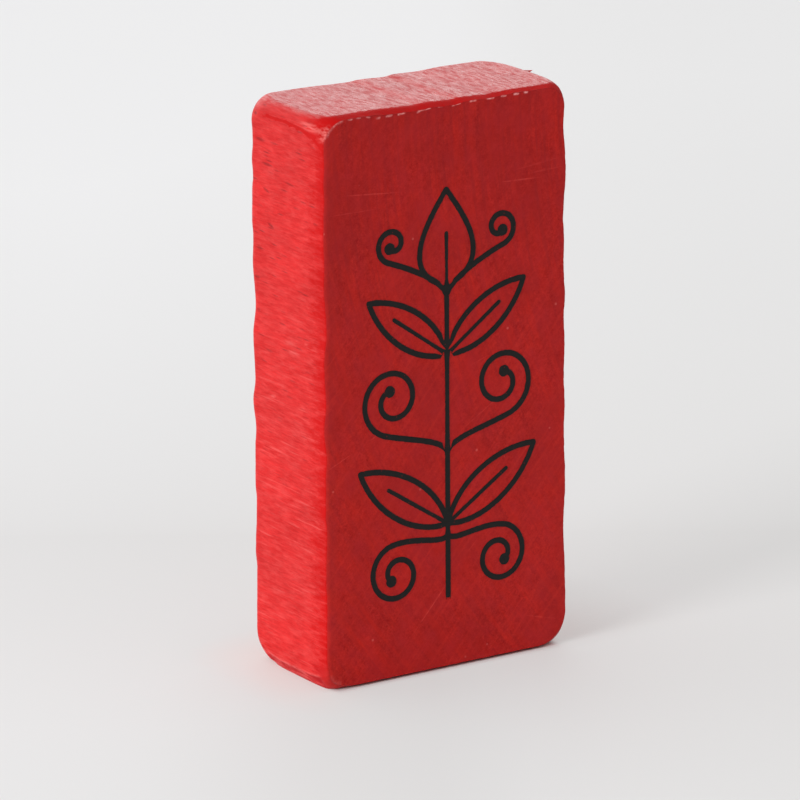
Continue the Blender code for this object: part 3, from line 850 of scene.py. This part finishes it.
def face_looks(tree, place):
    """Colour, roughness and height of the end grain on the broad faces, with rays that fan out downwards."""
    parts = add(tree, "ShaderNodeSeparateXYZ", {0: place}).outputs
    drop = maths(tree, "SUBTRACT", HEIGHT, parts["Z"])
    leaning = maths(tree, "SUBTRACT", parts["X"], times(tree, drop, drop, RAY_FAN))
    fanned = add(tree, "ShaderNodeCombineXYZ", {0: leaning, 1: parts["Y"], 2: parts["Z"]}).outputs[0]
    fine = grain(tree, place, (6.0, 0.3, 6.0), 2.0, 0.6, 2.0)
    pores = mix_values(tree, 0.5, fine, grain(tree, place, (2.0, 0.3, 2.0), 3.0, 0.6, 3.0))
    rays = grain(tree, fanned, (1.1, 0.2, 0.12), 3.0, 0.6, 6.0)
    patches = grain(tree, place, (0.2, 0.05, 0.15), 3.0, 0.55, 7.0)
    tint = blend(tree, span(tree, pores, 0.36, 0.64), *PORE_TINTS)
    tint = blend(tree, span(tree, rays, 0.38, 0.66, 0.0, 0.6), tint, RAY_TINT)
    thin_rays = span(tree, grain(tree, fanned, (3.0, 0.3, 0.17), 3.0, 0.6, 8.0), 0.46, 0.64, 0.0, 0.5)
    thin_rays = times(tree, thin_rays, span(tree, parts["Z"], 24.0, 38.0, 0.5, 1.0))
    tint = blend(tree, thin_rays, tint, THIN_RAY_TINT)
    tint = blend(tree, span(tree, patches, 0.42, 0.62, 0.0, 0.45), tint, PATCH_TINT)
    at_left = span(tree, parts["X"], -HALF_WIDTH, 1.4 - HALF_WIDTH, 0.5, 0.0)
    tint = blend(tree, at_left, tint, LEFT_RIM_TINT)
    mauve = grain(tree, place, (0.55, 0.2, 0.45), 3.0, 0.6, 25.0)
    tint = blend(tree, span(tree, mauve, 0.42, 0.66, 0.0, 0.4), tint, MAUVE_TINT)
    along, across = dot(tree, place, HATCH_WAY), dot(tree, place, HATCH_ACROSS)
    turned = add(tree, "ShaderNodeCombineXYZ", {0: across, 1: parts["Y"], 2: along}).outputs[0]
    hatch = span(tree, grain(tree, turned, (3.0, 0.3, 0.14), 3.0, 0.6, 27.0), 0.50, 0.72)
    hatch = times(tree, hatch, span(tree, parts["Z"], 28.0, 40.0, 0.4, 0.22))
    tint = blend(tree, hatch, tint, HATCH_TINT)
    broken = span(tree, grain(tree, place, (1.6, 0.5, 1.6), 2.0, 0.5, 3.0), 0.28, 0.52)
    on_back = span(tree, parts["Y"], -1.0, 1.0)
    moved = vector_maths(tree, "ADD", place, scaled(tree, BACK_SCRATCHES_MOVE, on_back))
    rubbed = times(tree, scratches(tree, moved, 1, SCRATCHES), broken)
    tint = blend(tree, rubbed, tint, SCRATCH_TINT)
    specks = span(tree, cells(tree, place, (0.33, 0.33, 0.33), 5.0), 0.025, 0.05, 0.25, 0.0)
    tint = blend(tree, specks, tint, SPECK_TINT)
    rough = span(tree, pores, 0.3, 0.7, 0.5, 0.38)
    return tint, rough, times(tree, pores, PORE_BUMP)


def wood_material():
    """Red-stained wood: long grain on the sides, end grain on the broad faces, paler where worn; painted
    shade and sheen in places.
    """
    material, tree, shader = new_material("stained_wood")
    place = place_in_mm(tree)
    level = add(tree, "ShaderNodeSeparateXYZ", {0: place}).outputs["Z"]
    end = attribute(tree, "end_grain")
    side_tint, side_rough, side_height = side_looks(tree, place)
    face_tint, face_rough, face_height = face_looks(tree, place)
    ragged = span(tree, grain(tree, place, (1.6, 0.6, 2.6), 4.0, 0.65, 15.0), 0.25, 0.75, -0.5, 0.5)
    # The deep attribute is real stain, and painted shade on the base's left flat, the top-left crease and the
    # top-right corner
    deep = maths(tree, "ADD", attribute(tree, "deep"), ragged)
    face_stain = times(tree, span(tree, deep, 0.9, 1.4), end, 0.6)
    face_tint = blend(tree, face_stain, face_tint, FACE_STAIN_TINT)
    stain = times(tree, span(tree, deep, 0.3, 0.8), maths(tree, "SUBTRACT", 1.0, end))
    # Painted shade: stained parts turn darker and bluer towards the foot
    stain_tint = blend(tree, span(tree, level, 0.6, 2.5), *STAIN_AND_FOOT_SHADE_TINTS)
    near_top = span(tree, level, HEIGHT - 1.0, HEIGHT - 0.5)
    stain_tint = blend(tree, near_top, stain_tint, TOP_STAIN_TINT)
    side_tint = blend(tree, stain, side_tint, stain_tint)
    side_rough = mix_values(tree, stain, side_rough, STAIN_ROUGHNESS)
    side_height = times(tree, side_height, span(tree, stain, 0.0, 1.0, 1.0, 0.35))
    tint = blend(tree, end, side_tint, face_tint)
    streaks = span(tree, grain(tree, place, (4.0, 0.35, 4.0), 3.0, 0.6, 12.0), 0.40, 0.62)
    rubbed = times(tree, attribute(tree, "scuff"), streaks, 0.7)
    tint = blend(tree, rubbed, tint, SCUFF_TINT)
    frayed = span(tree, grain(tree, place, (5.0, 2.0, 8.0), 2.0, 0.5, 18.0), 0.36, 0.58, 0.35, 1.15)
    tint = blend(tree, times(tree, attribute(tree, "wear"), frayed), tint, BARE_TINT)
    # Painted light: colours are lighter towards the foot and a little darker at the top, against the shade
    # low on the faces; broad is random tone
    broad = span(tree, grain(tree, place, (0.35, 0.25, 0.3), 2.0, 0.5, 30.0), 0.35, 0.65, 0.95, 1.05)
    tint = scaled(tree, tint, times(tree, span(tree, level, 0.0, HEIGHT, 1.10, 0.98), broad))
    tree.links.new(tint, shader.inputs["Base Color"])
    tree.links.new(mix_values(tree, end, side_rough, face_rough), shader.inputs["Roughness"])
    add_bump(tree, shader, mix_values(tree, end, side_height, face_height))
    shader.inputs["Specular IOR Level"].default_value = WOOD_SPECULAR
    return material


def ink_material():
    """Matte black ink, thin in spots."""
    material, tree, shader = new_material("black_ink")
    place = place_in_mm(tree)
    body = grain(tree, place, (2.0, 1.0, 2.0), 3.0, 0.6)
    holes = span(tree, cells(tree, place, (1.6, 1.6, 1.6)), 0.05, 0.12, 0.6, 0.0)
    tint = blend(tree, span(tree, body, 0.3, 0.7), *INK_TINTS)
    tint = blend(tree, holes, tint, THIN_INK_TINT)
    tree.links.new(tint, shader.inputs["Base Color"])
    tree.links.new(span(tree, body, 0.3, 0.7, 0.5, 0.65), shader.inputs["Roughness"])
    add_bump(tree, shader, times(tree, body, INK_BUMP))
    shader.inputs["Specular IOR Level"].default_value = INK_SPECULAR
    return material


def floor_material():
    """Plain pale paper, seen half lit and half as a glowing pale ground with painted light, shade and shadow,
    so that shadows are faint.
    """
    material, tree, shader = new_material("pale_floor")
    place = place_in_mm(tree)
    cloud = grain(tree, place, (0.01, 0.01, 0.01), 2.0)
    tint = blend(tree, cloud, *PAPER_TINTS)
    tree.links.new(tint, shader.inputs["Base Color"])
    shader.inputs["Roughness"].default_value = FLOOR_ROUGHNESS
    shader.inputs["Specular IOR Level"].default_value = FLOOR_SPECULAR
    # Painted light and shade on the glowing ground: lighter far away and towards the camera, darker in
    # between and to the right
    away, aside = dot(tree, place, FLOOR_AWAY), dot(tree, place, FLOOR_ASIDE)
    far = maths(tree, "POWER", span(tree, away, 34.0, 214.0), 0.6)
    near = span(tree, away, -20.0, 34.0, 0.3, 0.0)
    side = span(tree, aside, -35.0, 35.0, 0.18, -0.18)
    outside = vector_maths(tree, "SUBTRACT", vector_maths(tree, "ABSOLUTE", place, (0.0,) * 3), BLOCK_FOOT)
    outside = vector_maths(tree, "MAXIMUM", outside, (0.0,) * 3)
    gap = add(tree, "ShaderNodeVectorMath", {0: outside}, operation="LENGTH").outputs["Value"]
    depth = add(tree, "ShaderNodeSeparateXYZ", {0: place}).outputs["Y"]
    # Painted shadow to the right of the block, and painted shade in front of it
    painted_shadow_right = times(tree, span(tree, aside, 9.0, 14.0), span(tree, depth, -7.5, -4.0))
    painted_shadow_right = times(tree, painted_shadow_right, span(tree, gap, 2.0, 14.0, 0.6, 0.0))
    before = times(tree, span(tree, aside, -22.0, -8.0), span(tree, aside, 2.0, 10.0, 0.2, 0.0))
    before = times(tree, before, span(tree, away, 0.0, 10.0, 1.0, 0.0))
    shade = maths(tree, "ADD", painted_shadow_right, before)
    share = maths(tree, "SUBTRACT", maths(tree, "ADD", maths(tree, "ADD", far, near), side), shade)
    share = maths(tree, "ADD", times(tree, share, 0.7), 0.3)
    pale = blend(tree, share, *GROUND_TINTS)
    # Painted pink light thrown off the left side on to the ground beside it
    painted_glow = span(tree, gap, 0.3, 7.0, 0.6, 0.0)
    painted_glow = times(tree, painted_glow, span(tree, aside, -12.0, -3.0, 1.0, 0.0))
    pale = blend(tree, painted_glow, pale, PAINTED_GLOW_TINT)
    ground = add(tree, "ShaderNodeEmission", {"Color": pale, "Strength": 1.0}).outputs[0]
    ray = add(tree, "ShaderNodeLightPath").outputs
    seen = maths(tree, "MAXIMUM", ray["Is Camera Ray"], ray["Is Glossy Ray"])
    seen = maths(tree, "MAXIMUM", seen, ray["Is Transmission Ray"])
    half = times(tree, seen, span(tree, gap, 0.0, 0.7), span(tree, aside, 6.0, 16.0, 0.66, 0.45))
    mixed = add(tree, "ShaderNodeMixShader", {0: half, 1: shader.outputs[0], 2: ground})
    tree.links.new(mixed.outputs[0], tree.nodes["Material Output"].inputs["Surface"])
    return material


# Stage


def build_floor():
    """A plain floor that runs on to the background."""
    bpy.ops.mesh.primitive_plane_add(size=FLOOR_SIZE)
    floor = bpy.context.object
    floor.name = "floor"
    floor.data.materials.append(floor_material())


def build_camera():
    """The camera at the photograph's angle."""
    a, e = CAMERA_AZIMUTH, CAMERA_ELEVATION
    back = Vector((math.sin(a) * math.cos(e), -math.cos(a) * math.cos(e), math.sin(e)))
    level = Vector((math.cos(a), math.sin(a), 0.0))
    above = back.cross(level)
    right = level * math.cos(CAMERA_ROLL) + above * math.sin(CAMERA_ROLL)
    up = above * math.cos(CAMERA_ROLL) - level * math.sin(CAMERA_ROLL)
    eye = Vector(CAMERA_AIM) + back * CAMERA_DISTANCE + right * CAMERA_OFFSET[0] + up * CAMERA_OFFSET[1]
    camera = bpy.data.objects.new("camera", bpy.data.cameras.new("camera"))
    camera.data.lens = CAMERA_LENS
    camera.data.sensor_width = CAMERA_SENSOR
    camera.data.clip_start = CAMERA_CLIP
    camera.matrix_world = Matrix.Translation(eye * MM) @ Matrix((right, up, back)).transposed().to_4x4()
    bpy.context.scene.collection.objects.link(camera)
    bpy.context.scene.camera = camera


def build_light():
    """A low soft light from the left, and pale surroundings that are brighter behind the block."""
    light = bpy.data.lights.new("key", "AREA")
    light.size = KEY_SIZE
    light.energy = KEY_POWER
    panel = bpy.data.objects.new("key", light)
    panel.location = KEY_PLACE
    aim = Vector((0.0, 0.0, HEIGHT / 2 * MM))
    panel.rotation_euler = (aim - Vector(KEY_PLACE)).to_track_quat("-Z", "Y").to_euler()
    bpy.context.scene.collection.objects.link(panel)
    world = bpy.data.worlds.new("studio")
    bpy.context.scene.world = world
    world.use_nodes = True
    tree = world.node_tree
    direction = add(tree, "ShaderNodeTexCoord").outputs["Generated"]
    parts = add(tree, "ShaderNodeSeparateXYZ", {0: direction}).outputs
    around = span(tree, parts["Y"], -0.4, 0.6, 0.18, 1.85)
    strength = mix_values(tree, span(tree, parts["Z"], 0.36, 0.62), around, 0.80)
    strength = times(tree, strength, span(tree, parts["X"], 0.6, 0.9, 1.0, 0.6))
    tree.links.new(strength, tree.nodes["Background"].inputs["Strength"])
    tree.nodes["Background"].inputs["Color"].default_value = WHITE


block = build_block(wood_material())
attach(block, "root")
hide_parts("wood_block")

ornament = build_print(ink_material())
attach(ornament, "root")
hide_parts("front_print")

build_floor()
build_camera()
build_light()
bpy.context.scene.view_settings.view_transform = "Standard"
